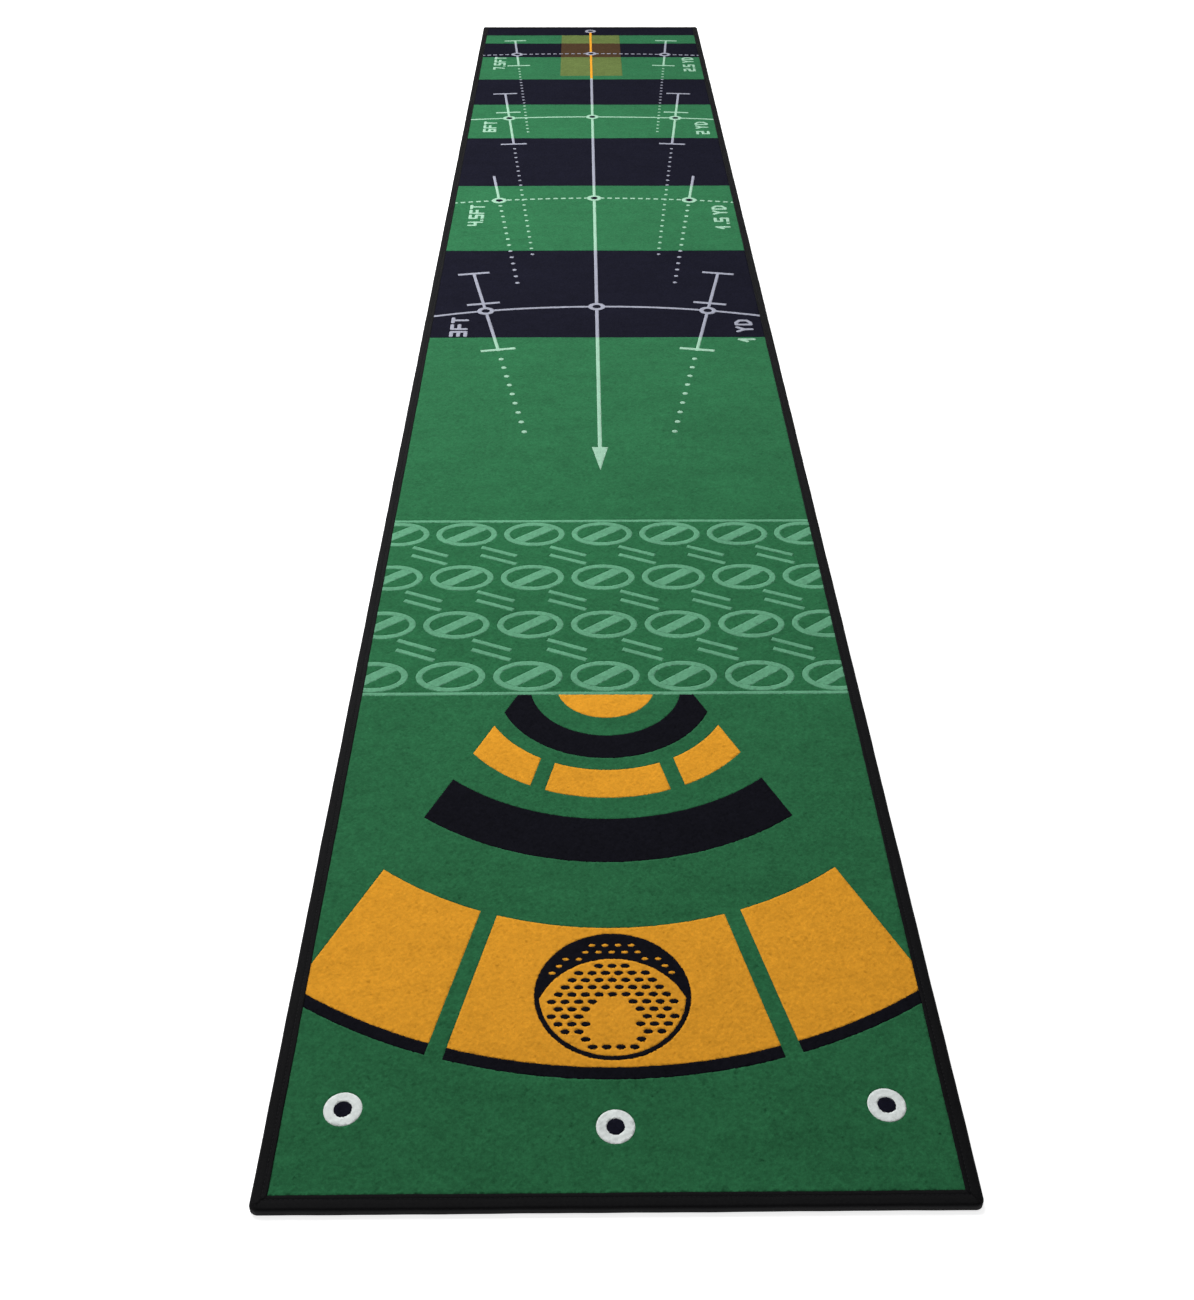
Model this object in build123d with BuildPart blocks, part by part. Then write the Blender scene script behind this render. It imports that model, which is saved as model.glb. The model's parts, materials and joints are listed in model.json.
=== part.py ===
"""Practice putting mat: printed cut pile on a woven backing and a rubber base, its edge bound with sewn tape.

Units are millimetres. The origin is on the floor, under the middle of the mat. +Y runs along the mat, from the
target end (near) to the far end, and +Z is up. The pile is one carpet on the real mat. Here each patch of one
yarn colour is a solid of its own, cut to meet its neighbours face to face, so that each can carry its own colour.
"""

from math import asin, atan2, degrees, hypot, sqrt

from build123d import *

# Size of the mat and of its layers, from the floor up
mat_width = 500.0
mat_length = 3000.0
mat_height = 6.8
corner_radius = 6.0
least_radius = 0.5
rubber_thickness = 1.8
backing_thickness = 0.7
pile_height = 4.0
pile_floor = rubber_thickness + backing_thickness
pile_plane = Plane.XY.offset(pile_floor)
near_edge = -mat_length / 2

# Binding tape, folded round the edge and sewn through
tape_width = 11.5
tape_thickness = 1.1
tape_outer_fillet = 2.2
tape_lower_fillet = 0.8
tape_inner_fillet = 0.4
pressed_pile_height = mat_height - tape_thickness - pile_floor
seam_inset = 8.0
thread_width = 0.9
thread_depth = 0.35
mitre_reach = 20.0
open_width = mat_width - 2 * tape_width
open_length = mat_length - 2 * tape_width

# Ends of the colour bands, measured from the near edge
band_ends = {
    "pile_green_target": 547.0,
    "pile_green_patterned": 859.0,
    "pile_green_approach": 1342.0,
    "pile_navy_first": 1658.0,
    "pile_green_second": 1950.0,
    "pile_navy_third": 2206.0,
    "pile_green_fourth": 2412.0,
    "pile_navy_fifth": 2585.0,
    "pile_green_sixth": 2750.0,
    "pile_navy_seventh": 2860.0,
    "pile_green_eighth": 2928.0,
    "pile_navy_end": mat_length,
}

# Target: a fan of rings about the half disc, and a round ball emblem
target_y = near_edge + 558.0
cup_radius = 48.0
inner_black_ring = (74.0, 105.5)
inner_yellow_ring = (122.0, 158.5)
outer_black_ring = (215.5, 267.5)
outer_black_lift = 30.0
outer_yellow_ring = (311.0, 445.0)
rim_ring = (445.0, 455.5)
fan_apex = 174.0
fan_slope = 0.458
strip_apex = 115.0
strip_slope = 0.245
strip_width = 15.0
ball_y = near_edge + 180.0
ball_radius = 61.0
ball_outline = 4.0
shade_drop = 26.0
dimple_radii = (3.6, 2.2)
open_dimple_radii = (2.6, 1.5)
highlight_drop = 27.0
highlight_radius = 21.0
dimple_pitch_x = 10.5
dimple_pitch_y = 7.0

# Distance marks: the arcs lie at these numbers of feet from the target's centre
scale_foot = 296.0
distances = {"first": 3.0, "second": 4.5, "third": 6.0, "fourth": 7.5}
dashed_arcs = ("second", "fourth")
line_width = 4.8
arc_width = 5.0
dash_length = 8.0
dash_pitch = 13.0
ring_outer = 12.5
ring_inner = 6.0
start_ring_outer = 13.8
start_ring_inner = 6.6
end_ring_y = near_edge + 2963.0
start_rings = [(-196.0, near_edge + 79.0), (0.0, near_edge + 63.0), (196.0, near_edge + 79.0)]

# Side gauges: one line each side of each arc, pointing at the target
gauge_x = 163.5
gauge_line = 4.4
bar_length = 49.0
bar_width = 6.0
# For each gauge: line's far end, its near end, and the last dot, all as offsets from the arc's radius
gauge_ends = {
    "first": (142.0, -134.0, -369.0),
    "second": (121.0, 0.0, -344.0),
    "third": (162.0, -158.0, -677.0),
    "fourth": (114.0, -90.0, -538.0),
}
# Offsets of the cross bars from the arc's radius
gauge_bars = {
    "first": (139.0, 26.0, -130.0),
    "second": (),
    "third": (159.0, 36.0, -155.0),
    "fourth": (111.0, -86.0),
}
# Radius and pitch of the dots
gauge_dots = {
    "first": (3.4, 26.0),
    "second": (3.2, 25.0),
    "third": (2.8, 24.0),
    "fourth": (2.6, 20.0),
}

# Aim line and the tinted square round its far end
arrow_tip_y = near_edge + 974.0
arrow_base_y = near_edge + 1030.0
arrow_width = 20.0
yellow_line_start = near_edge + 2592.0
halo_half_width = 66.0
halo_near = near_edge + 2611.0

# Patterned band
border_line = 4.5
motif_pitch_x = 77.0
motif_pitch_y = 86.0
motif_columns = 7
motif_rows = 4
motif_x_radius = 34.5
motif_y_radius = 24.0
motif_line = 6.4
slash_width = 12.0
slash_angle = -52.0
dash_pair_length = 44.0
dash_pair_width = 5.2
dash_pair_gap = 16.0
dash_pair_angle = -24.0

# Numerals and unit letters, made of strokes between these points of a cell one wide and two high
glyph_points = {
    "a": (0, 2), "b": (1, 2), "c": (0, 1), "d": (1, 1), "e": (0, 0), "f": (1, 0),
    "t": (0.5, 2), "m": (0.5, 1), "s": (0.5, 0), "g": (1, 1.5), "h": (1, 0.5),
}
glyph_strokes = {
    "1": ["ct", "ts"], "2": ["ab", "bd", "dc", "ce", "ef"], "3": ["ab", "bf", "fe", "cd"],
    "4": ["ac", "cd", "bf"], "5": ["ba", "ac", "cd", "df", "fe"], "6": ["ba", "ae", "ef", "fd", "dc"],
    "7": ["ab", "bs"], "F": ["ea", "ab", "cd"], "T": ["ab", "ts"], "Y": ["am", "bm", "ms"],
    "D": ["ea", "at", "tg", "gh", "hs", "se"],
}
glyph_height = 20.5
glyph_width = 13.5
glyph_stroke = 5.2
glyph_advance = 22.5
narrow_advances = {".": 9.0, " ": 10.0}
feet_baseline_x = -186.0
yards_baseline_x = 225.0
numeral_gap = 14.0
feet_texts = {"first": "3FT", "second": "4.5FT", "third": "6FT", "fourth": "7.5FT"}
yards_texts = {"first": "1 YD", "second": "1.5 YD", "third": "2 YD", "fourth": "2.5 YD"}


def write_step(part, name):
    """Label a finished part and write it to its own file."""
    part.label = name
    export_step(part, f"parts/{name}.step")


def sheet_outline(inset, mode=Mode.ADD):
    """Draw the mat's rounded outline, drawn in by inset, in the sketch that is open."""
    radius = max(corner_radius - inset, least_radius)
    return RectangleRounded(mat_width - 2 * inset, mat_length - 2 * inset, radius, mode=mode)


# ---- Rubber base: full thickness in the middle, thinned at the edge where the tape folds under
with BuildPart() as rubber_base:
    with BuildSketch(Plane.XY):
        sheet_outline(tape_width)
    extrude(amount=rubber_thickness)
    with BuildSketch(Plane.XY.offset(tape_thickness)):
        sheet_outline(tape_thickness)
    extrude(amount=rubber_thickness - tape_thickness)
write_step(rubber_base.part, "rubber_base")

# ---- Woven backing: the cloth that the pile is tufted through
with BuildPart() as woven_backing:
    with BuildSketch(Plane.XY.offset(rubber_thickness)):
        sheet_outline(tape_thickness)
    extrude(amount=backing_thickness)
write_step(woven_backing.part, "woven_backing")

# ---- Seam threads: one line on the top flap of the tape and one on the flap underneath
with BuildPart() as thread_loop:
    with BuildSketch(Plane.XY, Plane.XY.offset(mat_height - thread_depth)):
        sheet_outline(seam_inset - thread_width / 2)
        sheet_outline(seam_inset + thread_width / 2, Mode.SUBTRACT)
    extrude(amount=thread_depth)

# ---- Binding tape as one loop: a C section, open inwards, with grooves where the threads pull in
with BuildPart() as tape_loop:
    with BuildSketch(Plane.XY):
        sheet_outline(0)
    extrude(amount=mat_height)
    fillet(tape_loop.edges().group_by(Axis.Z)[-1], radius=tape_outer_fillet)
    fillet(tape_loop.edges().group_by(Axis.Z)[0], radius=tape_lower_fillet)
    with BuildSketch(Plane.XY.offset(tape_thickness)):
        sheet_outline(tape_thickness)
    extrude(amount=mat_height - 2 * tape_thickness, mode=Mode.SUBTRACT)
    with BuildSketch(Plane.XY):
        sheet_outline(tape_width)
    extrude(amount=mat_height, mode=Mode.SUBTRACT)
    top_edges = tape_loop.edges().filter_by_position(Axis.Z, mat_height, mat_height)
    fillet(
        top_edges.filter_by(lambda edge: abs(edge.center().X) <= open_width / 2
                            and abs(edge.center().Y) <= open_length / 2),
        radius=tape_inner_fillet,
    )
    add(thread_loop.part, mode=Mode.SUBTRACT)

# The four sides meet at mitres, so each is a lap of tape of its own
outer_x = mat_width / 2 + 1
outer_y = mat_length / 2 + 1
side_corners = {
    "left": [(-outer_x, -outer_y), (-outer_x + mitre_reach, -outer_y + mitre_reach),
             (-outer_x + mitre_reach, outer_y - mitre_reach), (-outer_x, outer_y)],
    "near": [(-outer_x, -outer_y), (outer_x, -outer_y),
             (outer_x - mitre_reach, -outer_y + mitre_reach), (-outer_x + mitre_reach, -outer_y + mitre_reach)],
}
side_corners["right"] = [(-x, y) for x, y in side_corners["left"]]
side_corners["far"] = [(x, -y) for x, y in side_corners["near"]]
for side, corners in side_corners.items():
    for kind, loop in (("binding", tape_loop), ("thread", thread_loop)):
        with BuildPart() as side_part:
            add(loop.part)
            with BuildSketch(Plane.XY):
                Polygon(*corners, align=None)
            extrude(amount=mat_height, mode=Mode.INTERSECT)
        write_step(side_part.part, f"{kind}_{side}")

# ---- Pile: every area is drawn on the pile's floor, the topmost first, and keeps what no earlier one covers
areas = {}


def boxes_meet(first, second):
    """Say whether two sketches' bounding boxes overlap."""
    a, b = first.bounding_box(), second.bounding_box()
    return a.min.X < b.max.X and b.min.X < a.max.X and a.min.Y < b.max.Y and b.min.Y < a.max.Y


def uncovered(plan, covers):
    """Return plan without the parts that covers hide."""
    with BuildSketch(pile_plane) as rest:
        add(plan)
        hiding = [cover for cover in covers if boxes_meet(plan, cover)]
        if hiding:
            add(hiding, mode=Mode.SUBTRACT)
    return rest.sketch_local


def draw(name, sketch):
    """Keep one yarn area, clipped to the open pile and to what is still uncovered, and write its solid."""
    with BuildSketch(pile_plane) as plan:
        add(sketch.sketch_local)
        sheet_outline(tape_width, Mode.INTERSECT)
    areas[name] = uncovered(plan.sketch_local, list(areas.values()))
    with BuildPart() as area:
        with BuildSketch(pile_plane):
            add(areas[name])
        extrude(amount=pile_height)
    write_step(area.part, name)


def annulus(radii):
    """Draw a flat ring between two radii."""
    Circle(radii[1])
    Circle(radii[0], mode=Mode.SUBTRACT)


def gauge_angle(radius):
    """Angle, in degrees, by which a gauge's line leans from the mat's length to point at the target."""
    return degrees(asin(gauge_x / radius))


def gauge_frame(radius):
    """The place of the right gauge: its origin at the target's centre and its own Y along the line."""
    return Location((0, target_y, 0), (0, 0, -gauge_angle(radius)))


radii = {mark: feet * scale_foot for mark, feet in distances.items()}
ring_points = [(0.0, target_y + radius) for radius in radii.values()] + [(0.0, end_ring_y)]
for radius in radii.values():
    rise = sqrt(radius**2 - gauge_x**2)
    ring_points += [(-gauge_x, target_y + rise), (gauge_x, target_y + rise)]

with BuildSketch(pile_plane) as ring_centres:
    with Locations(*ring_points):
        Circle(ring_inner)
    with Locations(*start_rings):
        Circle(start_ring_inner)
draw("ring_centres", ring_centres)

with BuildSketch(pile_plane) as start_ring_group:
    with Locations(*start_rings):
        Circle(start_ring_outer)
draw("start_rings", start_ring_group)

with BuildSketch(pile_plane) as distance_ring_group:
    with Locations(*ring_points):
        Circle(ring_outer)
draw("distance_rings", distance_ring_group)

# Aim line: white with an arrow head at its near end, yellow where it crosses the tinted square
with BuildSketch(pile_plane) as aim_line:
    with Locations((0, (arrow_base_y + yellow_line_start) / 2)):
        Rectangle(line_width, yellow_line_start - arrow_base_y)
    Polygon((0, arrow_tip_y), (arrow_width / 2, arrow_base_y), (-arrow_width / 2, arrow_base_y), align=None)
draw("aim_line_white", aim_line)

with BuildSketch(pile_plane) as yellow_line:
    with Locations((0, (yellow_line_start + end_ring_y) / 2)):
        Rectangle(line_width, end_ring_y - yellow_line_start)
draw("aim_line_yellow", yellow_line)

# Side gauges: a line with cross bars, then a row of dots towards the target
for mark, radius in radii.items():
    line_far, line_near, last_dot = (radius + offset for offset in gauge_ends[mark])
    dot_radius, dot_pitch = gauge_dots[mark]
    dot_start = line_near - dot_pitch
    dot_count = round((dot_start - last_dot) / dot_pitch) + 1
    with BuildSketch(pile_plane) as gauge:
        with Locations(gauge_frame(radius)):
            with Locations((0, (line_far + line_near) / 2)):
                Rectangle(gauge_line, line_far - line_near)
            for offset in gauge_bars[mark]:
                with Locations((0, radius + offset)):
                    Rectangle(bar_length, bar_width)
            with Locations(*[(0, dot_start - dot_pitch * count) for count in range(dot_count)]):
                Circle(dot_radius)
        mirror(about=Plane.YZ)
    draw(f"gauge_{mark}", gauge)

# Distance arcs, centred on the target: two are whole lines and two are dashed
for mark, radius in radii.items():
    half_angle = degrees(asin(open_width / 2 / radius))
    with BuildSketch(pile_plane) as arc:
        with Locations((0, target_y)):
            if mark in dashed_arcs:
                dash_count = int(2 * half_angle / degrees(dash_pitch / radius)) + 1
                with PolarLocations(radius, dash_count, 90 - half_angle, 2 * half_angle, endpoint=True):
                    Rectangle(arc_width, dash_length)
            else:
                annulus((radius - arc_width / 2, radius + arc_width / 2))
        with Locations((0, target_y + radius)):
            Rectangle(open_width, radius / 2, mode=Mode.INTERSECT)
    draw(f"arc_{mark}", arc)


def stroke(start, end):
    """Draw one stroke of a glyph: a bar with round ends."""
    dx, dy = end[0] - start[0], end[1] - start[1]
    middle = ((start[0] + end[0]) / 2, (start[1] + end[1]) / 2, 0)
    with Locations(Location(middle, (0, 0, degrees(atan2(dy, dx))))):
        SlotCenterToCenter(hypot(dx, dy), glyph_stroke)


def text_length(text):
    """Length of a text along its baseline."""
    return sum(narrow_advances.get(glyph, glyph_advance) for glyph in text)


def write_text(text, baseline_x, far_y):
    """Draw a text that reads up the mat, its last glyph ending at far_y and its feet at baseline_x."""
    with Locations(Location((baseline_x, far_y - text_length(text), 0), (0, 0, 90))):
        pen = glyph_stroke / 2
        for glyph in text:
            if glyph == ".":
                with Locations((pen, glyph_stroke / 2)):
                    Rectangle(glyph_stroke, glyph_stroke)
            for first, last in glyph_strokes.get(glyph, []):
                ends = [glyph_points[first], glyph_points[last]]
                stroke(*[(pen + u * glyph_width, glyph_stroke / 2 + v * glyph_height / 2) for u, v in ends])
            pen += narrow_advances.get(glyph, glyph_advance)


for name, texts, baseline_x in (
    ("numerals_feet", feet_texts, feet_baseline_x),
    ("numerals_yards", yards_texts, yards_baseline_x),
):
    with BuildSketch(pile_plane) as numerals:
        for mark, text in texts.items():
            arc_y = target_y + sqrt(radii[mark] ** 2 - baseline_x**2)
            write_text(text, baseline_x, arc_y - numeral_gap)
    draw(name, numerals)

# Tinted square round the aim line's far end, one area for each band it crosses
band_names = list(band_ends)
for name, band in (
    ("halo_near_olive", "pile_green_sixth"),
    ("halo_brown", "pile_navy_seventh"),
    ("halo_far_olive", "pile_green_eighth"),
):
    band_start = near_edge + band_ends[band_names[band_names.index(band) - 1]]
    near_y = max(band_start, halo_near)
    far_y = near_edge + band_ends[band]
    with BuildSketch(pile_plane) as halo:
        with Locations((0, (near_y + far_y) / 2)):
            Rectangle(2 * halo_half_width, far_y - near_y)
    draw(name, halo)

# Patterned band: two border lines, and rows of barred ovals with pairs of slanted dashes between the rows
band_near = near_edge + band_ends["pile_green_target"]
band_far = near_edge + band_ends["pile_green_patterned"]
band_middle = (band_near + band_far) / 2
with BuildSketch(pile_plane) as band_lines:
    with Locations((0, band_near), (0, band_far)):
        Rectangle(open_width, border_line)
draw("band_lines", band_lines)


def clip_to_band():
    """Cut the open sketch to the patterned band."""
    with Locations((0, band_middle)):
        Rectangle(open_width, band_far - band_near, mode=Mode.INTERSECT)


motif_core = (motif_x_radius - motif_line, motif_y_radius - motif_line)
with BuildSketch(pile_plane) as motif_ovals:
    with Locations((0, band_middle)):
        with GridLocations(motif_pitch_x, motif_pitch_y, motif_columns, motif_rows):
            Ellipse(motif_x_radius, motif_y_radius)
            Ellipse(*motif_core, mode=Mode.SUBTRACT)
    clip_to_band()
draw("motif_ovals", motif_ovals)

with BuildSketch(pile_plane) as motif_bars:
    with Locations((0, band_middle)):
        with GridLocations(motif_pitch_x, motif_pitch_y, motif_columns, motif_rows):
            Rectangle(slash_width, 2 * motif_x_radius, rotation=slash_angle)
    with BuildSketch(pile_plane, mode=Mode.INTERSECT):
        with Locations((0, band_middle)):
            with GridLocations(motif_pitch_x, motif_pitch_y, motif_columns, motif_rows):
                Ellipse(*motif_core)
    clip_to_band()
draw("motif_bars", motif_bars)

with BuildSketch(pile_plane) as motif_dashes:
    with Locations((0, band_middle)):
        with GridLocations(motif_pitch_x, motif_pitch_y, motif_columns + 1, motif_rows - 1):
            with Locations((0, dash_pair_gap / 2), (0, -dash_pair_gap / 2)):
                Rectangle(dash_pair_length, dash_pair_width, rotation=dash_pair_angle)
    clip_to_band()
draw("motif_dashes", motif_dashes)

# ---- Target
with BuildSketch(pile_plane) as cup_half_disc:
    with Locations((0, target_y)):
        Circle(cup_radius)
    with Locations((0, band_near)):
        Rectangle(4 * cup_radius, 4 * cup_radius, align=(Align.CENTER, Align.MAX), mode=Mode.INTERSECT)
draw("cup_half_disc", cup_half_disc)

# Ball emblem: an outline, a shade with open dimples over the top, and dimples printed round a bare highlight
with BuildSketch(pile_plane) as ball_emblem:
    with Locations((0, ball_y)):
        Circle(ball_radius - ball_outline / 2)
        with Locations((0, -shade_drop)):
            Circle(ball_radius, mode=Mode.SUBTRACT)
        dimple_rows = int(ball_radius / dimple_pitch_y)
        dimple_columns = int(ball_radius / dimple_pitch_x)
        clearance = dimple_radii[0] + 1.5
        open_dimples, printed_dimples = [], []
        for row in range(-dimple_rows, dimple_rows + 1):
            for column in range(-dimple_columns, dimple_columns + 1):
                x, y = (column + row % 2 / 2) * dimple_pitch_x, row * dimple_pitch_y
                past_shade = hypot(x, y + shade_drop) - ball_radius
                if hypot(x, y) > ball_radius - ball_outline - clearance or abs(past_shade) < clearance:
                    continue
                if past_shade > 0:
                    open_dimples.append((x, y))
                elif hypot(x, y + highlight_drop) > highlight_radius:
                    printed_dimples.append((x, y))
        with Locations(*printed_dimples):
            Ellipse(*dimple_radii)
        with Locations(*open_dimples):
            Ellipse(*open_dimple_radii, mode=Mode.SUBTRACT)
    with BuildSketch(pile_plane):
        with Locations((0, ball_y)):
            annulus((ball_radius - ball_outline, ball_radius))
draw("ball_emblem", ball_emblem)


def fan_x(apex, slope, y):
    """Distance from the centre line to a fan line that starts at apex beyond the target's centre."""
    return slope * (apex + target_y - y)


fan_top_y = band_near - border_line / 2
strip_half = strip_width / 2
inner_side_x = {y: fan_x(strip_apex, strip_slope, y) - strip_half for y in (fan_top_y, near_edge)}
outer_side_x = {y: fan_x(strip_apex, strip_slope, y) + strip_half for y in (fan_top_y, near_edge)}
fan_side_x = {y: fan_x(fan_apex, fan_slope, y) for y in (fan_top_y, near_edge)}
middle_wedge = [(-inner_side_x[fan_top_y], fan_top_y), (inner_side_x[fan_top_y], fan_top_y),
                (inner_side_x[near_edge], near_edge), (-inner_side_x[near_edge], near_edge)]
right_wedge = [(outer_side_x[fan_top_y], fan_top_y), (fan_side_x[fan_top_y], fan_top_y),
               (fan_side_x[near_edge], near_edge), (outer_side_x[near_edge], near_edge)]
left_wedge = [(-x, y) for x, y in right_wedge]
whole_fan = [(-fan_side_x[fan_top_y], fan_top_y), (fan_side_x[fan_top_y], fan_top_y),
             (fan_side_x[near_edge], near_edge), (-fan_side_x[near_edge], near_edge)]
sectors = {"left": left_wedge, "middle": middle_wedge, "right": right_wedge}
target_rings = [
    ("target_inner_black", inner_black_ring, 0.0, whole_fan),
    ("target_outer_black", outer_black_ring, outer_black_lift, whole_fan),
]
for name, ring in (
    ("target_inner_yellow", inner_yellow_ring),
    ("target_outer_yellow", outer_yellow_ring),
    ("target_rim_black", rim_ring),
):
    target_rings += [(f"{name}_{sector}", ring, 0.0, outline) for sector, outline in sectors.items()]

for name, ring, lift, outline in target_rings:
    with BuildSketch(pile_plane) as target_area:
        with Locations((0, target_y + lift)):
            annulus(ring)
        Polygon(*outline, align=None, mode=Mode.INTERSECT)
    draw(name, target_area)

# ---- Pile ground: what is left of each band, full height in the open and pressed down under the tape
drawn = list(areas.values())
band_start = 0.0
for name, band_end in band_ends.items():
    near_y, far_y = near_edge + band_start, near_edge + band_end
    with BuildSketch(pile_plane) as open_band:
        with Locations((0, (near_y + far_y) / 2)):
            Rectangle(open_width, far_y - near_y)
        sheet_outline(tape_width, Mode.INTERSECT)
    with BuildPart() as ground:
        with BuildSketch(pile_plane):
            add(uncovered(open_band.sketch_local, drawn))
        extrude(amount=pile_height)
        with BuildSketch(pile_plane):
            sheet_outline(tape_thickness)
            with Locations((0, (near_y + far_y) / 2)):
                Rectangle(mat_width, far_y - near_y, mode=Mode.INTERSECT)
            sheet_outline(tape_width, Mode.SUBTRACT)
        extrude(amount=pressed_pile_height)
    write_step(ground.part, name)
    band_start = band_end
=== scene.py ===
"""Looks for the practice putting mat: tufted pile, ribbed tape, stitches, a dotted rubber base, and a studio.

Lengths are metres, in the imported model's own frame: +Y runs to the far end and +Z is up.
"""

import json
import math

import bpy
import numpy as np
from mathutils import Matrix, Vector
from mathutils.geometry import delaunay_2d_cdt


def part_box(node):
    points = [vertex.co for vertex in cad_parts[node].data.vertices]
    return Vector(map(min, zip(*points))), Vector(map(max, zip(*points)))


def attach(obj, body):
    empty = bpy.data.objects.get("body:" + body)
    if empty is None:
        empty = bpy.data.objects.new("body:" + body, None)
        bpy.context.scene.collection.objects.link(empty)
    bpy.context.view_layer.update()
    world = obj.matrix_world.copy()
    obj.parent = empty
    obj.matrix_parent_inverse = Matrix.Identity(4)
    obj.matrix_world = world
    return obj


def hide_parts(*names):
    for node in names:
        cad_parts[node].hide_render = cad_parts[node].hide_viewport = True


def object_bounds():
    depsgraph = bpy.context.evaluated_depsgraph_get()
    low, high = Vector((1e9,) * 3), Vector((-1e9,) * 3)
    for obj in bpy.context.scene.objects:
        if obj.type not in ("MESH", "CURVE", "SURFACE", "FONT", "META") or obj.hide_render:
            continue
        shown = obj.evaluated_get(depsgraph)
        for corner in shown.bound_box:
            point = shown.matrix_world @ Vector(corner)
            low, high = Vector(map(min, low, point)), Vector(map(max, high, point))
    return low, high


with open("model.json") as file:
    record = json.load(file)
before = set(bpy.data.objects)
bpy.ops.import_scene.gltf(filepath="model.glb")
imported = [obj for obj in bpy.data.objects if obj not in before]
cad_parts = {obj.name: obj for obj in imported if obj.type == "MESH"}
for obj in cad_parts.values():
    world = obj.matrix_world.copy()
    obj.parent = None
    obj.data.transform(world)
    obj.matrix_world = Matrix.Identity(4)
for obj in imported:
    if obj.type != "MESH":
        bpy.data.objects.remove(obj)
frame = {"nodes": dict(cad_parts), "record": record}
cad_low, cad_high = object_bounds()
nodes = frame["nodes"]
slots = {part["node"]: part["material_slot"] for part in frame["record"]["subparts"]}
MM = 0.001
rng = np.random.RandomState(11)

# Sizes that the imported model's boxes give
half_width, half_length = cad_high.x, cad_high.y
mat_height = cad_high.z
pile_floor, pile_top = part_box("pile_green_approach")[0].z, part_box("pile_green_approach")[1].z
rubber_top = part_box("rubber_base")[1].z
tape_thickness = half_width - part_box("woven_backing")[1].x

# Sizes that repeat the CAD's
corner_radius = 6 * MM
tape_width = 11.5 * MM
seam_inset = 8 * MM
PRESSED_PILE = 3.2 * MM  # height of the pile that the tape presses down

# The camera comes first, seen from just before the target end
CAMERA_PLACE = Vector((-0.0209, -2.0263, 0.8931))
CAMERA_YAW, CAMERA_PITCH, CAMERA_ROLL = (math.radians(a) for a in (0.656, 37.822, 0.149))
camera_data = bpy.data.cameras.new("camera")
camera_data.lens, camera_data.sensor_width = 39.29, 36.0
camera_data.clip_end = 100
camera = bpy.data.objects.new("camera", camera_data)
bpy.context.scene.collection.objects.link(camera)
forward = Vector((math.sin(CAMERA_YAW) * math.cos(CAMERA_PITCH),
                  math.cos(CAMERA_YAW) * math.cos(CAMERA_PITCH), -math.sin(CAMERA_PITCH)))
level = Vector((math.cos(CAMERA_YAW), -math.sin(CAMERA_YAW), 0))
upright = level.cross(forward)
right = level * math.cos(CAMERA_ROLL) + upright * math.sin(CAMERA_ROLL)
up = upright * math.cos(CAMERA_ROLL) - level * math.sin(CAMERA_ROLL)
camera.matrix_world = Matrix.Translation(CAMERA_PLACE) @ Matrix((right, up, -forward)).transposed().to_4x4()
bpy.context.scene.camera = camera


# ---- Materials
def srgb(red, green, blue):
    """A colour given in 8-bit display values, as linear light."""
    shares = (channel / 255 for channel in (red, green, blue))
    return tuple(((c + 0.055) / 1.055) ** 2.4 if c > 10 / 255 else c / 12.92 for c in shares)


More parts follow.
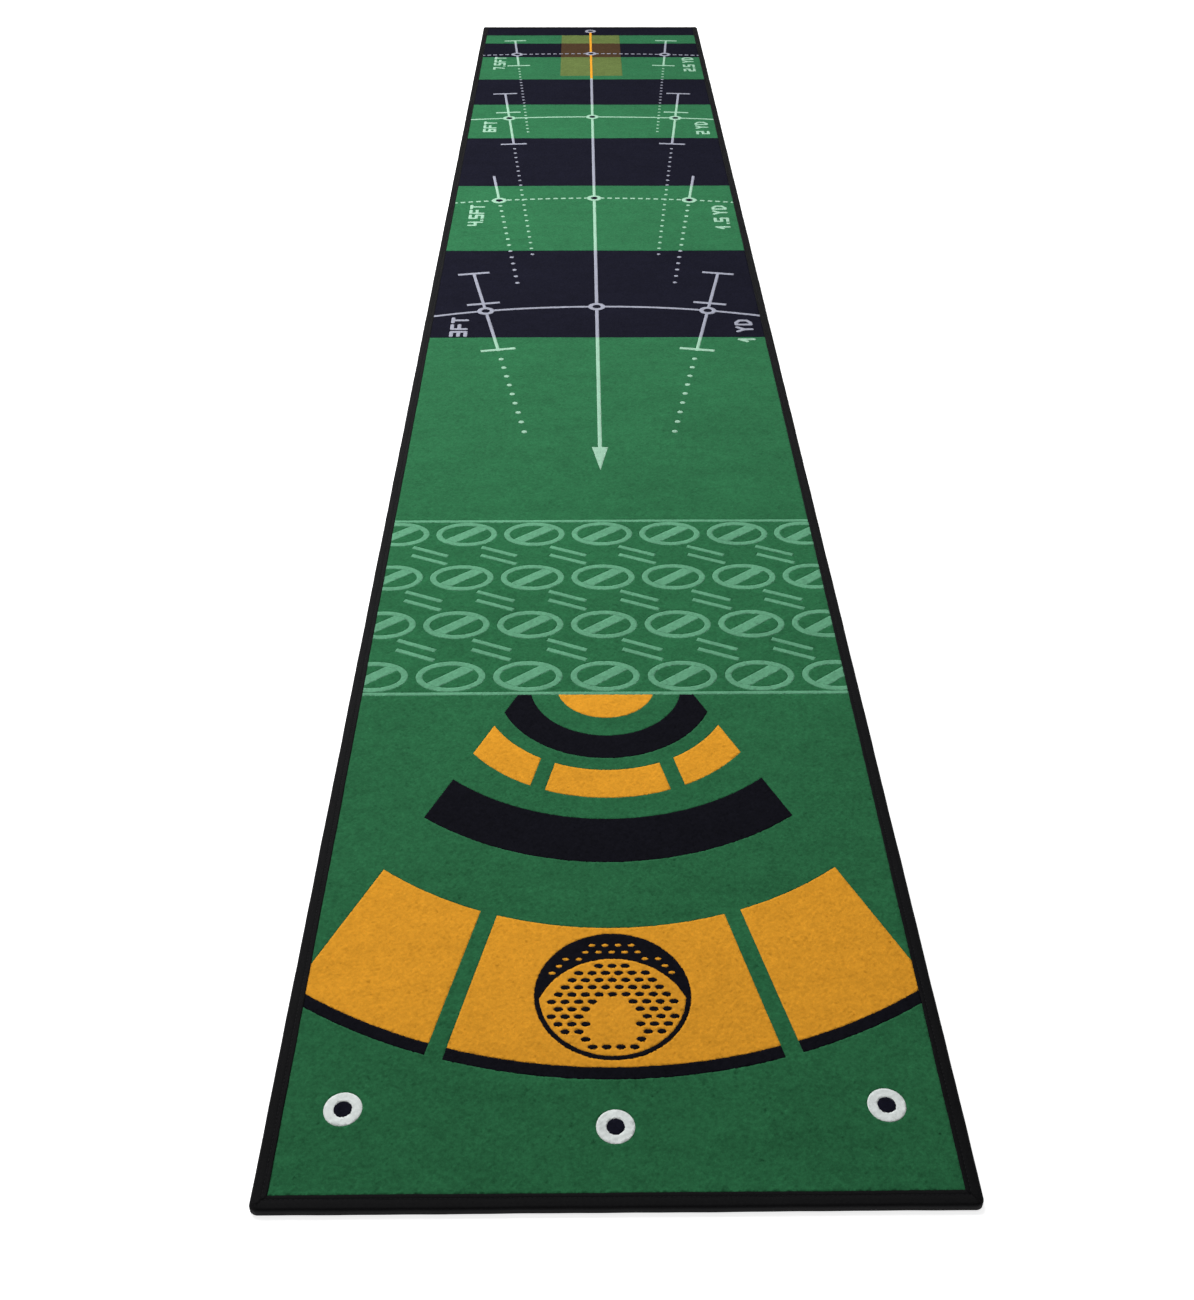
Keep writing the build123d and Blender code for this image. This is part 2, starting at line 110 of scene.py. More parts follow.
class Shading:
    """A material with one Principled shader, and short ways to add nodes to it."""

    def __init__(self, name, roughness, specular=0.5, sheen=0.0):
        self.material = bpy.data.materials.new(name)
        self.material.use_nodes = True
        self.nodes, self.links = self.material.node_tree.nodes, self.material.node_tree.links
        self.shader = self.nodes["Principled BSDF"]
        for socket, value in (("Roughness", roughness), ("Specular IOR Level", specular),
                              ("Sheen Weight", sheen), ("Sheen Roughness", 0.5)):
            self.shader.inputs[socket].default_value = value

    def put(self, target, value):
        """Link a socket to a value, or set it."""
        if isinstance(value, bpy.types.NodeSocket):
            self.links.new(value, target)
        elif isinstance(value, tuple) and len(value) == 3 and target.type == "RGBA":
            target.default_value = (*value, 1)
        else:
            target.default_value = value

    def math(self, operation, first, second=0.0, third=0.0, clamp=False):
        node = self.nodes.new("ShaderNodeMath")
        node.operation, node.use_clamp = operation, clamp
        for socket, value in zip(node.inputs, (first, second, third)):
            self.put(socket, value)
        return node.outputs[0]

    def place(self, stretch=(1, 1, 1), source="Object"):
        """Coordinates in metres, stretched along each axis: the piece's own, or a UV layer's."""
        if source == "Object":
            coordinates = self.nodes.new("ShaderNodeTexCoord").outputs["Object"]
        else:
            layer = self.nodes.new("ShaderNodeUVMap")
            layer.uv_map = source
            coordinates = layer.outputs[0]
        mapping = self.nodes.new("ShaderNodeMapping")
        self.links.new(coordinates, mapping.inputs["Vector"])
        mapping.inputs["Scale"].default_value = stretch
        return mapping.outputs[0]

    def noise(self, scale, detail=2.0, stretch=(1, 1, 1), roughness=0.5):
        node = self.nodes.new("ShaderNodeTexNoise")
        node.inputs["Scale"].default_value = scale
        node.inputs["Detail"].default_value = detail
        node.inputs["Roughness"].default_value = roughness
        self.links.new(self.place(stretch), node.inputs["Vector"])
        return node.outputs["Fac"]

    def cells(self, scale):
        """Distance to the nearest of many scattered points, one for each tuft."""
        node = self.nodes.new("ShaderNodeTexVoronoi")
        node.inputs["Scale"].default_value = scale
        self.links.new(self.place(), node.inputs["Vector"])
        return node.outputs["Distance"]

    def wave(self, scale, axis, distortion=0.0, source="Object"):
        node = self.nodes.new("ShaderNodeTexWave")
        node.bands_direction = axis
        node.inputs["Scale"].default_value = scale
        node.inputs["Distortion"].default_value = distortion
        node.inputs["Detail"].default_value = 1.0
        self.links.new(self.place(source=source), node.inputs["Vector"])
        return node.outputs["Fac"]

    def mix(self, factor, first, second):
        node = self.nodes.new("ShaderNodeMix")
        node.data_type = "RGBA"
        for socket, value in zip((node.inputs[0], node.inputs[6], node.inputs[7]), (factor, first, second)):
            self.put(socket, value)
        return node.outputs[2]

    def toned(self, colour, *variations):
        """The colour, made lighter and darker by each (factor from 0 to 1, share of the colour)."""
        tone = 1.0
        for factor, share in variations:
            tone = self.math("MULTIPLY_ADD", self.math("SUBTRACT", factor, 0.5), 2 * share, tone)
        node = self.nodes.new("ShaderNodeVectorMath")
        node.operation = "SCALE"
        if isinstance(colour, bpy.types.NodeSocket):
            self.links.new(colour, node.inputs[0])
        else:
            node.inputs[0].default_value = colour
        self.put(node.inputs["Scale"], tone)
        return node.outputs[0]

    def bump(self, *heights):
        """Raise the surface by each (height from 0 to 1, distance in metres, strength)."""
        normal = None
        for height, distance, strength in heights:
            node = self.nodes.new("ShaderNodeBump")
            node.inputs["Distance"].default_value = distance
            node.inputs["Strength"].default_value = strength
            self.links.new(height, node.inputs["Height"])
            if normal is not None:
                self.links.new(normal, node.inputs["Normal"])
            normal = node.outputs[0]
        self.links.new(normal, self.shader.inputs["Normal"])

    def paint(self, colour):
        self.put(self.shader.inputs["Base Color"], colour)

    def band_colour(self, on_green, on_navy):
        """One colour where the marking crosses a green band and another on a navy band."""
        y = self.nodes.new("ShaderNodeSeparateXYZ")
        self.links.new(self.place(), y.inputs[0])
        factor = 0.0
        for name in nodes:
            if name.startswith("pile_navy"):
                low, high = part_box(name)
                middle, reach = (low.y + high.y) / 2, (high.y - low.y) / 2
                offset = self.math("ABSOLUTE", self.math("SUBTRACT", y.outputs[1], middle))
                inside = self.math("LESS_THAN", offset, reach)
                factor = self.math("ADD", factor, inside, clamp=True)
        return self.mix(factor, on_green, on_navy)


def pile_material(name, colour, other=None, sheen=0.0, mottle=0.10):
    """Cut pile of one yarn colour: painted light and shade in blotches where the nap leans, faint rows, and
    fibres at the tips.
    """
    look = Shading(name, roughness=0.95, specular=0.05, sheen=sheen)
    look.shader.inputs["Sheen Tint"].default_value = (0.4, 1.0, 0.65, 1)
    base = look.band_colour(colour, other) if other else colour
    # The toning is painted light and shade in blotches where the nap leans, laid over random tone at the
    # tufts and fibres.
    look.paint(look.toned(
        base,
        (look.noise(9, 3), 1.1 * mottle),
        (look.noise(45, 2, stretch=(0.25, 1, 1)), 1.3 * mottle),
        (look.noise(80, 2), 1.8 * mottle),
        (look.noise(190, 2, roughness=0.6), 2.6 * mottle),
        (look.noise(430, 3, roughness=0.7), 3.6 * mottle),
        (look.noise(1500, 1), 2.4 * mottle),
    ))
    look.bump((look.cells(430), 0.5 * MM, 0.35), (look.noise(1300, 3, roughness=0.75), 0.35 * MM, 0.55))
    return look.material


GREEN = srgb(40, 101, 64)
NAVY = srgb(21, 21, 33)
pile_looks = {
    "pile_green": pile_material("green_pile", GREEN, sheen=0.15),
    "pile_navy": pile_material("navy_pile", NAVY),
    "pile_yellow": pile_material("yellow_pile", srgb(226, 156, 44), mottle=0.05),
    "pile_black": pile_material("black_pile", srgb(17, 17, 24)),
    "pile_white": pile_material("white_pile", srgb(150, 190, 166), srgb(150, 152, 166), mottle=0.04),
    "pile_pale_green": pile_material("pale_green_pile", srgb(98, 158, 124), mottle=0.06),
    "pile_olive": pile_material("olive_pile", srgb(96, 112, 62), mottle=0.08),
    "pile_brown": pile_material("brown_pile", srgb(72, 54, 38), mottle=0.08),
}
ring_white = pile_material("ring_white_pile", srgb(232, 238, 236), mottle=0.03)

tape_look = Shading("ribbed_tape", roughness=0.62, specular=0.07)
tape_look.paint(tape_look.toned(
    srgb(12, 12, 14), (tape_look.noise(25, 2), 0.25), (tape_look.noise(1600, 2), 0.35)))
tape_look.bump((tape_look.wave(400, "X", 0.4, source="Ribs"), 0.25 * MM, 0.6),
               (tape_look.noise(2600, 2), 0.15 * MM, 0.5))

thread_look = Shading("twisted_thread", roughness=0.6, specular=0.12)
thread_look.paint(thread_look.toned(srgb(17, 17, 20), (thread_look.noise(900, 2), 0.3)))
thread_look.bump((thread_look.wave(900, "DIAGONAL", 1.0), 0.1 * MM, 0.6))

rubber_look = Shading("moulded_rubber", roughness=0.78, specular=0.35)
rubber_look.paint(rubber_look.toned(
    srgb(36, 36, 38), (rubber_look.noise(14, 3), 0.15), (rubber_look.noise(700, 2), 0.2)))
rubber_look.bump((rubber_look.noise(900, 3, roughness=0.7), 0.2 * MM, 0.4))

weave_look = Shading("woven_cloth", roughness=0.9, specular=0.15, sheen=0.1)
weave = weave_look.math("MULTIPLY", weave_look.wave(180, "X", 0.3), weave_look.wave(180, "Y", 0.3))
weave_look.paint(weave_look.toned(srgb(172, 168, 158), (weave, 0.3), (weave_look.noise(20, 2), 0.08)))
weave_look.bump((weave, 0.3 * MM, 0.7))


# ---- Mesh helpers
def make_piece(name, vertices, faces, material, node, uv=None, smooth=True):
    """A mesh object that stands for one CAD node. uv gives the bake layout, one pair for each face corner."""
    mesh = bpy.data.meshes.new(name)
    mesh.from_pydata(vertices, [], faces)
    mesh.materials.append(material)
    mesh.polygons.foreach_set("use_smooth", [smooth] * len(mesh.polygons))
    if uv is not None:
        layer = mesh.uv_layers.new(name="OFBake")
        layer.data.foreach_set("uv", np.asarray(uv, np.float32).ravel())
    mesh.update()
    piece = bpy.data.objects.new(name, mesh)
    bpy.context.scene.collection.objects.link(piece)
    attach(piece, "root")
    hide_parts(node)
    return piece


def corner_uv(vertices, faces, low, high, area=(0.0, 0.0, 1.0, 1.0)):
    """Plan-view layout of faces, fitted from the box low..high into one area of the unit square."""
    flat = np.array([v[:2] for v in vertices])
    unit = (flat - low) / np.maximum(np.subtract(high, low), 1e-6)
    placed = np.array(area[:2]) + unit * (np.array(area[2:]) - np.array(area[:2]))
    return placed[np.concatenate([np.asarray(f) for f in faces])]


def flat_outline(node, height):
    """The boundary of a CAD node's upward faces at one height: plan points, and directed edges round them."""
    mesh = nodes[node].data
    mesh.calc_loop_triangles()
    points = np.empty(len(mesh.vertices) * 3)
    mesh.vertices.foreach_get("co", points)
    points = points.reshape(-1, 3)
    triangles = np.empty(len(mesh.loop_triangles) * 3, int)
    mesh.loop_triangles.foreach_get("vertices", triangles)
    triangles = triangles.reshape(-1, 3)
    corners = points[triangles]
    sense = np.cross(corners[:, 1] - corners[:, 0], corners[:, 2] - corners[:, 0])[:, 2]
    triangles = triangles[(np.abs(corners[:, :, 2] - height).max(1) < 5e-6) & (sense > 0)]
    keys = np.round(points[:, :2] / 2e-6).astype(np.int64)
    _, first, same = np.unique(keys, axis=0, return_index=True, return_inverse=True)
    triangles = same.ravel()[triangles]
    edges = np.concatenate([triangles[:, [0, 1]], triangles[:, [1, 2]], triangles[:, [2, 0]]])
    codes = edges[:, 0] * len(first) + edges[:, 1]
    edges = edges[~np.isin(codes, edges[:, 1] * len(first) + edges[:, 0])]
    used, edges = np.unique(edges, return_inverse=True)
    return points[first][used][:, :2], edges.reshape(-1, 2)


def grown(points, edges, distance):
    """The outline's points moved out of the area by a distance."""
    run = points[edges[:, 1]] - points[edges[:, 0]]
    outward = np.zeros_like(points)
    for end in (0, 1):
        np.add.at(outward, edges[:, end], np.column_stack([run[:, 1], -run[:, 0]]))
    return points + distance * outward / np.maximum(np.linalg.norm(outward, axis=1, keepdims=True), 1e-9)


def divided(points, edges, step):
    """The outline with its long edges cut to about one step."""
    points, cut = list(map(tuple, points)), []
    for start, end in edges.tolist():
        a, b = np.array(points[start]), np.array(points[end])
        count = max(1, math.ceil(np.linalg.norm(b - a) / step - 0.2))
        chain = [start]
        for k in range(1, count):
            chain.append(len(points))
            points.append(tuple(a + (b - a) * k / count))
        chain.append(end)
        cut += list(zip(chain, chain[1:]))
    return np.array(points), cut


# ---- Pile: one field of tufts over the whole mat, and each yarn area takes the ones that it covers
TUFT = 2.5 * MM
columns, rows = round(2 * half_width / TUFT) + 1, round(2 * half_length / TUFT) + 1
lattices = []
for shift in (0.0, 0.5):
    x = (np.arange(columns) + shift) * TUFT - half_width
    y = (np.arange(rows) + shift) * TUFT - half_length
    place = np.stack(np.broadcast_arrays(x[None, :], y[:, None]), -1)
    lattices.append((x, y, place + rng.uniform(-0.24, 0.24, place.shape) * TUFT))


def swell(plan):
    """Slow rise and fall of the pile, as it lies on a floor."""
    x, y = plan[:, 0], plan[:, 1]
    return 0.12 * MM * (np.sin(23 * x + 3 * np.sin(5 * y)) + np.sin(17 * y + 2 * np.sin(9 * x)))


def tufts_inside(points, cut, clearance):
    """Tuft roots and tips inside an outline, at least the clearance from it."""
    found = []
    starts, ends = points[[a for a, _ in cut]], points[[b for _, b in cut]]
    samples = np.concatenate([starts, (starts + ends) / 2])
    for x, y, places in lattices:
        inside = np.zeros(places.shape[:2], bool)
        first, last = np.searchsorted(y, (points[:, 1].min() - TUFT, points[:, 1].max() + TUFT))
        for row in range(first, last):
            at_x, at_y = places[row, :, 0, None], places[row, :, 1, None]
            reach = np.minimum(starts[:, 1], ends[:, 1]) <= at_y.max()
            reach &= np.maximum(starts[:, 1], ends[:, 1]) >= at_y.min()
            a, b = starts[reach], ends[reach]
            spans = (a[:, 1] <= at_y) != (b[:, 1] <= at_y)
            slope = (b[:, 0] - a[:, 0]) / np.where(b[:, 1] == a[:, 1], 1, b[:, 1] - a[:, 1])
            inside[row] = (spans & (a[:, 0] + (at_y - a[:, 1]) * slope > at_x)).sum(1) % 2 == 1
        near = np.round((samples - (x[0], y[0])) / TUFT).astype(int)
        for dx in (-1, 0, 1):
            for dy in (-1, 0, 1):
                column, row = near[:, 0] + dx, near[:, 1] + dy
                real = (column >= 0) & (column < len(x)) & (row >= 0) & (row < len(y))
                column, row, at = column[real], row[real], samples[real]
                close = np.linalg.norm(places[row, column] - at, axis=1) < clearance
                inside[row[close], column[close]] = False
        found.append(places[inside])
    return found


def filled(points, cut, inner=()):
    """Triangles over an outline, its holes left open: plan points, triangles, and each input's place."""
    plan = np.concatenate([points, *inner])
    spots, _, faces, origin, *_ = delaunay_2d_cdt([Vector(p) for p in plan.tolist()], cut, [], 1, 1e-7)
    spots = np.array([(spot.x, spot.y) for spot in spots])
    place_of = {source: index for index, sources in enumerate(origin) for source in sources}
    faces = np.array(faces)
    on_rim = np.zeros(len(spots), bool)
    on_rim[[place_of[source] for source in range(len(points))]] = True
    rim = np.array([(place_of[a], place_of[b]) for a, b in cut])
    middles = spots[faces].mean(1)
    unsure = on_rim[faces].all(1)
    starts, ends = spots[rim[:, 0]], spots[rim[:, 1]]
    keep = ~unsure
    for chunk in np.array_split(np.flatnonzero(unsure), 1 + unsure.sum() * len(rim) // 20_000_000):
        x, y = middles[chunk, 0, None], middles[chunk, 1, None]
        spans = (starts[None, :, 1] <= y) != (ends[None, :, 1] <= y)
        rise = np.where(ends[:, 1] == starts[:, 1], 1, ends[:, 1] - starts[:, 1])
        slope = (ends[:, 0] - starts[:, 0]) / rise
        keep[chunk] = (spans & (starts[:, 0] + (y - starts[:, 1]) * slope > x)).sum(1) % 2 == 1
    return spots, faces[keep].tolist(), place_of


def slab(points, cut, inner, heights, floor):
    """A closed slab: a top over the outline and inner points at the given heights, walls, a flat bottom."""
    spots, faces, place_of = filled(points, cut, inner)
    level = np.full(len(spots), heights.mean())
    level[[place_of[source] for source in range(len(heights))]] = heights
    vertices = np.column_stack([spots, level]).tolist()
    top_count = len(faces)
    below = {}
    for index in sorted({place_of[a] for pair in cut for a in pair}):
        below[index] = len(vertices)
        vertices.append((vertices[index][0], vertices[index][1], floor))
    for a, b in cut:
        a, b = place_of[a], place_of[b]
        if a != b:
            faces.append([b, a, below[a], below[b]])
    _, bottom, bottom_place = filled(points, cut)
    under = {index: below[place_of[source]] for source, index in bottom_place.items()}
    faces += [[under[index] for index in reversed(face)] for face in bottom]
    return vertices, faces, top_count


# Where markings cross, the one earlier in this list lies on top
drawn_first = ["ring_centres", "start_rings", "distance_rings", "aim_line", "gauge", "arc", "numerals",
               "halo", "band_lines", "motif", "cup", "ball", "target"]


def pile_piece(node):
    """The pile of one yarn area: uneven tufts on top, cut to the CAD node's outline."""
    ground = node.startswith("pile_")
    rank = next((k for k, start in enumerate(drawn_first) if node.startswith(start)), len(drawn_first))
    lift = 0.0 if ground else (0.02 + 0.012 * (len(drawn_first) - rank)) * MM
    outline, edges = flat_outline(node, pile_top)
    if not ground:
        outline = grown(outline, edges, 0.15 * MM)
    points, cut = divided(outline, edges, TUFT)
    roots, tips = tufts_inside(points, cut, 0.75 * MM)
    heights = np.concatenate([
        pile_top - 0.42 * MM + 0.08 * MM * np.sin(points[:, 0] * 2300) * np.cos(points[:, 1] * 2100),
        pile_top - rng.uniform(0.55, 0.95, len(roots)) * MM,
        pile_top - rng.uniform(-0.05, 0.30, len(tips)) * MM,
    ]) + lift + swell(np.concatenate([points, roots, tips]))
    vertices, faces, top_count = slab(points, cut, [roots, tips], heights, pile_floor)
    if ground:
        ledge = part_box(node)[0].z + PRESSED_PILE
        edge_points, edge_edges = flat_outline(node, ledge)
        if len(edge_edges):
            edge_points, edge_cut = divided(edge_points, edge_edges, 20 * MM)
            ledge_heights = np.full(len(edge_points), ledge)
            extra, extra_faces, _ = slab(edge_points, edge_cut, [], ledge_heights, pile_floor)
            offset = len(vertices)
            vertices += extra
            faces += [tuple(v + offset for v in face) for face in extra_faces]
    low, high = np.array([v[:2] for v in vertices]).min(0), np.array([v[:2] for v in vertices]).max(0)
    uv = np.concatenate([
        corner_uv(vertices, faces[:top_count], low, high, (0.004, 0.004, 0.996, 0.94)),
        corner_uv(vertices, faces[top_count:], low, high, (0.004, 0.955, 0.996, 0.996)),
    ])
    look = ring_white if node == "start_rings" else pile_looks[slots[node]]
    return make_piece(f"{node}_tufts", vertices, faces, look, node, uv)


pile_nodes = [name for name in sorted(nodes) if slots[name].startswith("pile_")]
pile_pieces = [pile_piece(name) for name in pile_nodes]


# ---- Binding tape and its stitches
STITCH = 3.4 * MM
SIDES = {  # the direction along each side, and half the lengths along it and across it
    "near": ((1, 0), half_width, half_length),
    "right": ((0, 1), half_length, half_width),
    "far": ((-1, 0), half_width, half_length),
    "left": ((0, -1), half_length, half_width),
}
TURN_STEPS = 6


def side_axes(side):
    """Unit vectors along a side and out of the mat, and half the lengths along it and across it."""
    along, reach, across = SIDES[side]
    along = np.array(along, float)
    return along, np.array([along[1], -along[0]]), reach, across


def side_stations(side, steps):
    """Angle round the corners, and distance along the side, of each station from mitre to mitre."""
    straight = side_axes(side)[2] - corner_radius
    turns = np.radians(np.linspace(-45, 0, TURN_STEPS + 1))[:-1]
    angle = np.concatenate([turns, np.zeros(steps + 1), -turns[::-1]])
    run = np.linspace(-straight, straight, steps + 1)
    run = np.concatenate([np.full(TURN_STEPS, -straight), run, np.full(TURN_STEPS, straight)])
    return angle, run


def inset_line(side, angle, run, inset):
    """Points at an inset from a side's edge: round the corner's arc, or up to the mitre if further in."""
    along, outward, reach, across = side_axes(side)
    radius = np.maximum(corner_radius - inset, 0.0)
    stop = reach - np.maximum(inset, corner_radius)
    x = np.clip(run, -stop, stop) + radius * np.sin(angle)
    y = across - np.maximum(inset, corner_radius) + radius * np.cos(angle)
    return x[:, None] * along + y[:, None] * outward


def tape_profile():
    """Section of the folded tape as (inset, height) pairs: top, round the edge, under, and back inside."""
    top, under = mat_height, 0.0
    line = [(11.5, -0.75), (11.4, -0.2), (10.9, -0.02), (10.0, 0.0), (9.2, 0.0), (8.5, -0.12), (8.0, -0.28),
            (7.5, -0.12), (6.8, 0.0), (5.4, 0.03), (4.0, 0.02), (2.9, -0.06)]
    points = [(d * MM, top + dz * MM) for d, dz in line]
    for turn in np.radians(np.linspace(80, 0, 5)):
        points.append(((2.2 - 2.2 * math.cos(turn)) * MM, top - (2.2 - 2.2 * math.sin(turn)) * MM))
    points.append((-0.05 * MM, 2.6 * MM))
    for turn in np.radians(np.linspace(0, 90, 4)):
        points.append(((0.8 - 0.8 * math.cos(turn)) * MM, under + (0.8 - 0.8 * math.sin(turn)) * MM))
    points += [(4.5 * MM, 0.0), (7.5 * MM, 0.0), (8.0 * MM, 0.2 * MM), (8.5 * MM, 0.0), (11.5 * MM, 0.0),
               (11.5 * MM, tape_thickness), (tape_thickness, tape_thickness),
               (tape_thickness, top - tape_thickness), (11.5 * MM, top - tape_thickness)]
    return points


def waver(distance, seed, size):
    """A slow, uneven wander along a side."""
    return size * (np.sin(31 * distance + seed) + 0.7 * np.sin(73 * distance + 2.1 * seed)
                   + 0.5 * np.sin(167 * distance))


def tape_piece(side, seed):
    """One side's tape: swept from mitre to mitre, pulled in at each stitch, raised at the corner folds."""
    reach = side_axes(side)[2]
    rows_in_layout = 16 if reach == half_length else 4
    angle, run = side_stations(side, 2 * round((reach - corner_radius) / STITCH) * 2)
    distance = run + angle * corner_radius
    profile = tape_profile()
    count, wide = len(run), len(profile)
    pull = np.cos(np.pi * np.arange(count))
    to_mitre = reach - np.abs(distance)
    fold = np.zeros(count)
    if side in ("near", "far"):
        fold = np.clip(1 - np.abs(to_mitre - 2 * MM) / (9 * MM), 0, 1)
    vertices = []
    for k, (inset, height) in enumerate(profile):
        top_side = height > mat_height - 1.0 * MM
        if inset > 9 * MM:
            d = inset + waver(distance, seed, 0.12 * MM)
        else:
            d = inset + waver(distance, seed + 3, 0.09 * MM)
        z = np.full(count, height)
        if top_side:
            z += waver(distance, seed + 1 + 0.1 * k, 0.04 * MM) + 0.2 * MM * fold
            z -= 0.07 * MM * (1 + pull) * math.exp(-((inset - seam_inset) / (1.6 * MM)) ** 2)
        vertices.append(np.column_stack([inset_line(side, angle, run, d), z]))
    vertices = np.stack(vertices, 1).reshape(-1, 3)
    faces, uv = [], []
    per_row = math.ceil((count - 1) / rows_in_layout)
    for j in range(count - 1):
        row, spot = divmod(j, per_row)
        for k in range(wide):
            after = (k + 1) % wide
            faces.append((j * wide + k, j * wide + after, (j + 1) * wide + after, (j + 1) * wide + k))
            u0, u1 = 0.01 + 0.98 * spot / per_row, 0.01 + 0.98 * (spot + 1) / per_row
            v0, v1 = ((row + 0.06 + 0.88 * q / wide) / rows_in_layout for q in (k, k + 1))
            uv += [(u0, v0), (u0, v1), (u1, v1), (u1, v0)]
    for j, order in ((0, 1), (count - 1, -1)):
        ring = [j * wide + k for k in range(wide)][::-order]
        faces.append(tuple(ring))
        uv += [(0.002 + 0.004 * (k % 2), 0.002 + 0.004 * (k // 2 % 2)) for k in range(wide)]
    node = f"binding_{side}"
    piece = make_piece(f"{node}_tape", vertices.tolist(), faces, tape_look.material, node, uv)
    ribs = piece.data.uv_layers.new(name="Ribs")
    lengths = np.array([(distance[v // wide], v % wide * MM) for f in faces for v in f], np.float32)
    ribs.data.foreach_set("uv", lengths.ravel())
    ribs.active_render = True
    return piece


def stitch_piece(side):
    """One side's seam: a short twisted stitch between each two needle holes, on top and underneath."""
    along, outward, reach, across = side_axes(side)
    straight = reach - corner_radius
    holes = np.linspace(-straight, straight, 2 * round(straight / STITCH) + 1)
    holes = holes[np.abs(holes) < reach - seam_inset]
    middles = ((holes[1:] + holes[:-1]) / 2)[:, None] * along + (across - seam_inset) * outward
    around, rings = 6, ((-1.0, 0.3), (-0.55, 1.0), (0.0, 1.12), (0.55, 1.0), (1.0, 0.3))
    vertices, faces, uv = [], [], []
    grid = math.ceil(math.sqrt(2 * len(middles)))
    for level_index, (height, sense) in enumerate(((mat_height - 0.34 * MM, 1), (0.33 * MM, -1))):
        for index, middle in enumerate(middles):
            base = len(vertices)
            lean = 0.12 * MM * math.sin(index * 1.7)
            for t, width in rings:
                bow = sense * 0.1 * MM * (1 - t * t) - sense * 0.12 * MM * t * t
                for turn in range(around):
                    a = 2 * math.pi * turn / around
                    spot = middle + along * t * 0.47 * STITCH
                    spot = spot + outward * (0.36 * MM * width * math.cos(a) + lean * t)
                    level = height + bow + 0.2 * MM * width * math.sin(a)
                    vertices.append((spot[0], spot[1], max(level, 0.0)))
            cell = index + level_index * len(middles)
            row, column = divmod(cell, grid)
            for r in range(len(rings) - 1):
                for turn in range(around):
                    after = (turn + 1) % around
                    faces.append((base + r * around + turn, base + r * around + after,
                                  base + (r + 1) * around + after, base + (r + 1) * around + turn))
                    uv += [((column + 0.1 + 0.8 * (r + dr) / 4) / grid,
                            (row + 0.1 + 0.8 * (turn + dt) / around) / grid)
                           for dr, dt in ((0, 0), (0, 1), (1, 1), (1, 0))]
            for r, order in ((0, -1), (len(rings) - 1, 1)):
                faces.append(tuple(base + r * around + k for k in range(around))[::order])
                uv += [((column + 0.05) / grid, (row + 0.05) / grid)] * around
    return make_piece(f"thread_{side}_stitches", vertices, faces, thread_look.material, f"thread_{side}", uv)


binding_pieces = [tape_piece(side, 1.3 * k) for k, side in enumerate(SIDES)]
thread_pieces = [stitch_piece(side) for side in SIDES]


# ---- Rubber base: a flange under the pile, and a plate with round grips underneath
def rubber_piece():
    outline, edges = flat_outline("rubber_base", rubber_top)
    points, cut = divided(outline, edges, 20 * MM)
    vertices, faces, _ = slab(points, cut, [], np.full(len(points), rubber_top), tape_thickness)
    flange_faces = len(faces)
    inner_x, inner_y = half_width - tape_width, half_length - tape_width
    across, along = 30, 186
    recess, dot_radius = 0.45 * MM, 4.6 * MM
    x, y = np.linspace(-inner_x, inner_x, across + 1), np.linspace(-inner_y, inner_y, along + 1)
    base = len(vertices)
    vertices += [(a, b, recess) for b in y for a in x]

    def corner(i, j):
        return base + j * (across + 1) + i

    turns = np.radians(22.5 + 45 * np.arange(8))
    for j in range(along):
        for i in range(across):
            centre_x, centre_y = (x[i] + x[i + 1]) / 2, (y[j] + y[j + 1]) / 2
            foot = len(vertices)
            for radius, height in ((dot_radius, recess), (dot_radius - 0.5 * MM, 0.0)):
                vertices += [(centre_x + radius * math.cos(t), centre_y + radius * math.sin(t), height)
                             for t in turns]
            square = [corner(i + 1, j + 1), corner(i, j + 1), corner(i, j), corner(i + 1, j)]
            for q in range(4):
                a, b, c = foot + 2 * q, foot + 2 * q + 1, foot + (2 * q + 2) % 8
                faces.append((a, b, square[q]))
                faces.append((b, c, square[(q + 1) % 4], square[q]))
            faces += [(foot + q, foot + 8 + q, foot + 8 + (q + 1) % 8, foot + (q + 1) % 8) for q in range(8)]
            faces.append(tuple(foot + 8 + q for q in range(8))[::-1])
    rim = [corner(i, 0) for i in range(across)] + [corner(across, j) for j in range(along)]
    rim += [corner(i, along) for i in range(across, 0, -1)] + [corner(0, j) for j in range(along, 0, -1)]
    above = len(vertices)
    vertices += [(vertices[v][0], vertices[v][1], tape_thickness) for v in rim]
    for k in range(len(rim)):
        after = (k + 1) % len(rim)
        faces.append((rim[k], rim[after], above + after, above + k))
    low, high = (-half_width, -half_length), (half_width, half_length)
    uv = np.concatenate([corner_uv(vertices, faces[:flange_faces], low, high, (0.01, 0.01, 0.19, 0.99)),
                         corner_uv(vertices, faces[flange_faces:], low, high, (0.21, 0.01, 0.99, 0.99))])
    return make_piece("rubber_base_moulding", vertices, faces, rubber_look.material, "rubber_base", uv,
                      smooth=False)


def backing_piece():
    outline, edges = flat_outline("woven_backing", pile_floor)
    points, cut = divided(outline, edges, 10 * MM)
    x, y = np.arange(-0.24, 0.241, 0.01), np.arange(-1.49, 1.491, 0.01)
    inner = np.stack(np.meshgrid(x, y), -1).reshape(-1, 2)
    heights = np.full(len(points) + len(inner), pile_floor)
    vertices, faces, top_count = slab(points, cut, [inner], heights, rubber_top)
    low, high = (-half_width, -half_length), (half_width, half_length)
    uv = np.concatenate([corner_uv(vertices, faces[:top_count], low, high, (0.01, 0.01, 0.49, 0.99)),
                         corner_uv(vertices, faces[top_count:], low, high, (0.51, 0.01, 0.99, 0.99))])
    return make_piece("woven_backing_cloth", vertices, faces, weave_look.material, "woven_backing", uv)


rubber = rubber_piece()
backing = backing_piece()
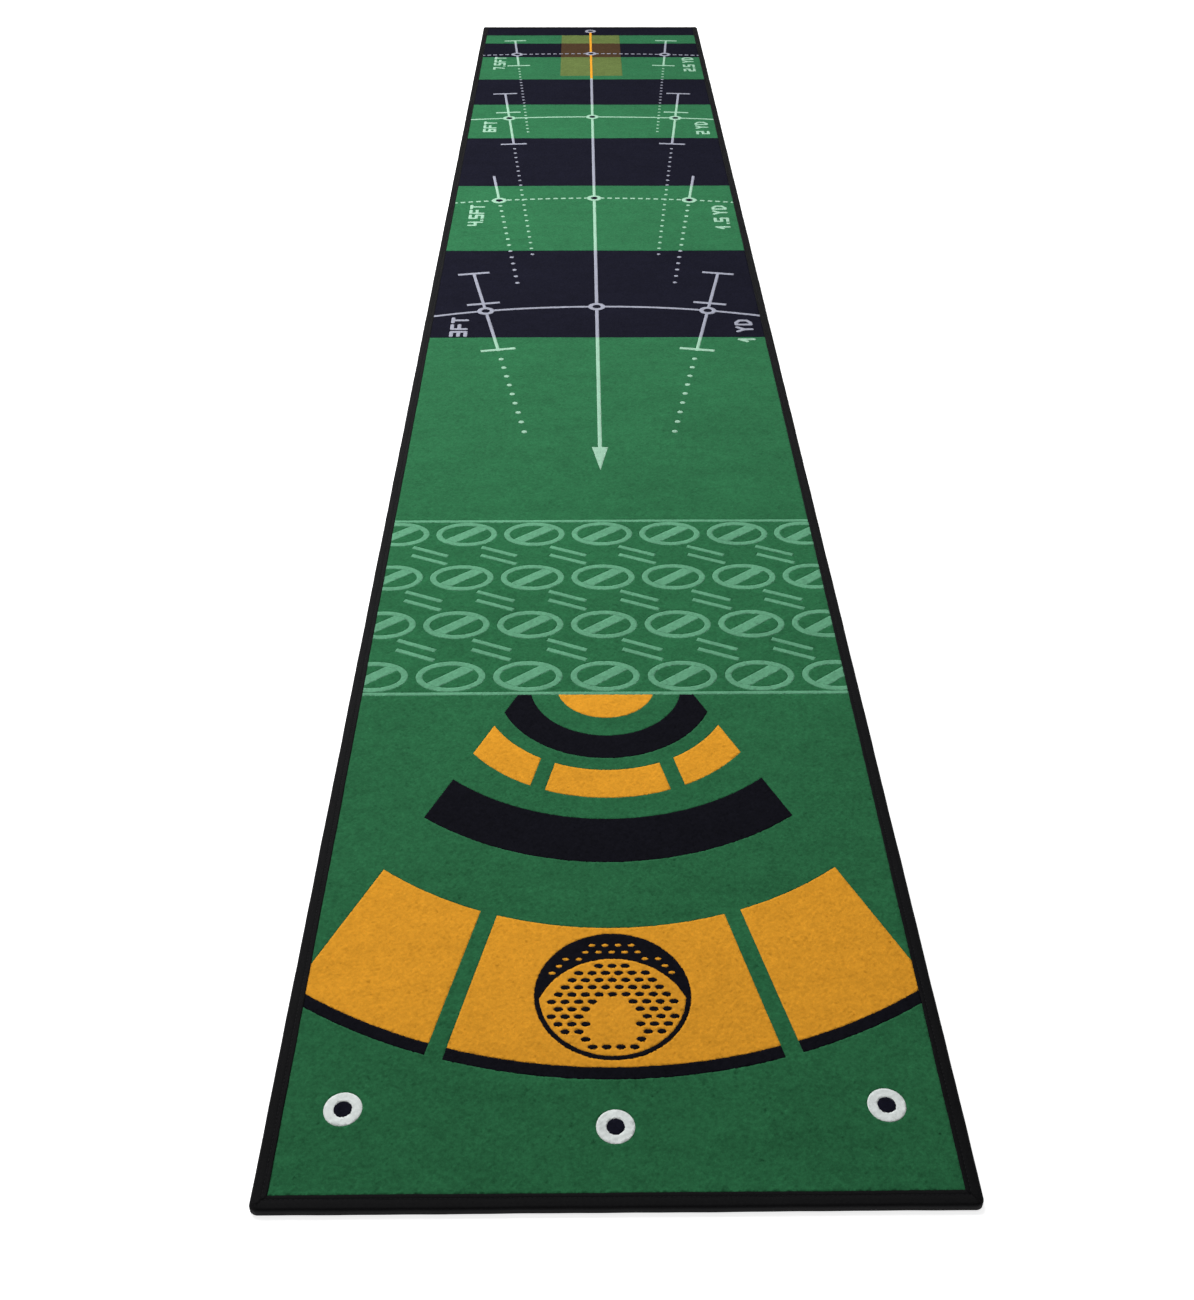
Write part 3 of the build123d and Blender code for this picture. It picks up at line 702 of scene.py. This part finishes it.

# ---- Studio: a white floor, a white surround round the horizon that dims above it, and a wide soft light over the middle
floor_mesh = bpy.data.meshes.new("studio_floor")
FLOOR_REACH, FLOOR_DROP = 30, 0.4 * MM
floor_corners = [(x * FLOOR_REACH, y * FLOOR_REACH, -FLOOR_DROP)
                 for x, y in ((-1, -1), (1, -1), (1, 1), (-1, 1))]
floor_mesh.from_pydata(floor_corners, [], [(0, 1, 2, 3)])
floor_look = Shading("studio_floor_paint", roughness=0.8, specular=0.2)
floor_look.paint((0.9, 0.9, 0.9))
floor_look.shader.inputs["Emission Color"].default_value = (1, 1, 1, 1)
floor_look.shader.inputs["Emission Strength"].default_value = 0.75
floor_mesh.materials.append(floor_look.material)
studio_floor = bpy.data.objects.new("studio_floor", floor_mesh)
bpy.context.scene.collection.objects.link(studio_floor)

world = bpy.data.worlds.new("studio")
bpy.context.scene.world = world
world.use_nodes = True
sky_nodes, sky_links = world.node_tree.nodes, world.node_tree.links
direction = sky_nodes.new("ShaderNodeSeparateXYZ")
sky_links.new(sky_nodes.new("ShaderNodeTexCoord").outputs["Generated"], direction.inputs[0])
brightness = sky_nodes.new("ShaderNodeMapRange")  # white round the horizon, and dim above it
for socket, value in (("From Min", 0.1), ("From Max", 0.3), ("To Min", 0.95), ("To Max", 0.15)):
    brightness.inputs[socket].default_value = value
sky_links.new(direction.outputs[2], brightness.inputs["Value"])
sky_links.new(brightness.outputs[0], sky_nodes["Background"].inputs["Strength"])
sky_nodes["Background"].inputs["Color"].default_value = (1, 1, 1, 1)
bpy.context.scene.view_settings.view_transform = "Standard"


def soft_light(name, place, target, width, length, watts):
    data = bpy.data.lights.new(name, "AREA")
    data.shape, data.size, data.size_y, data.energy = "RECTANGLE", width, length, watts
    light = bpy.data.objects.new(name, data)
    bpy.context.scene.collection.objects.link(light)
    light.location = place
    light.rotation_mode = "QUATERNION"
    light.rotation_quaternion = (Vector(target) - Vector(place)).to_track_quat("-Z", "Y")


soft_light("overhead_key", (-0.9, 0.5, 2.1), (-0.3, 0.5, 0), 2.2, 2.0, 94)
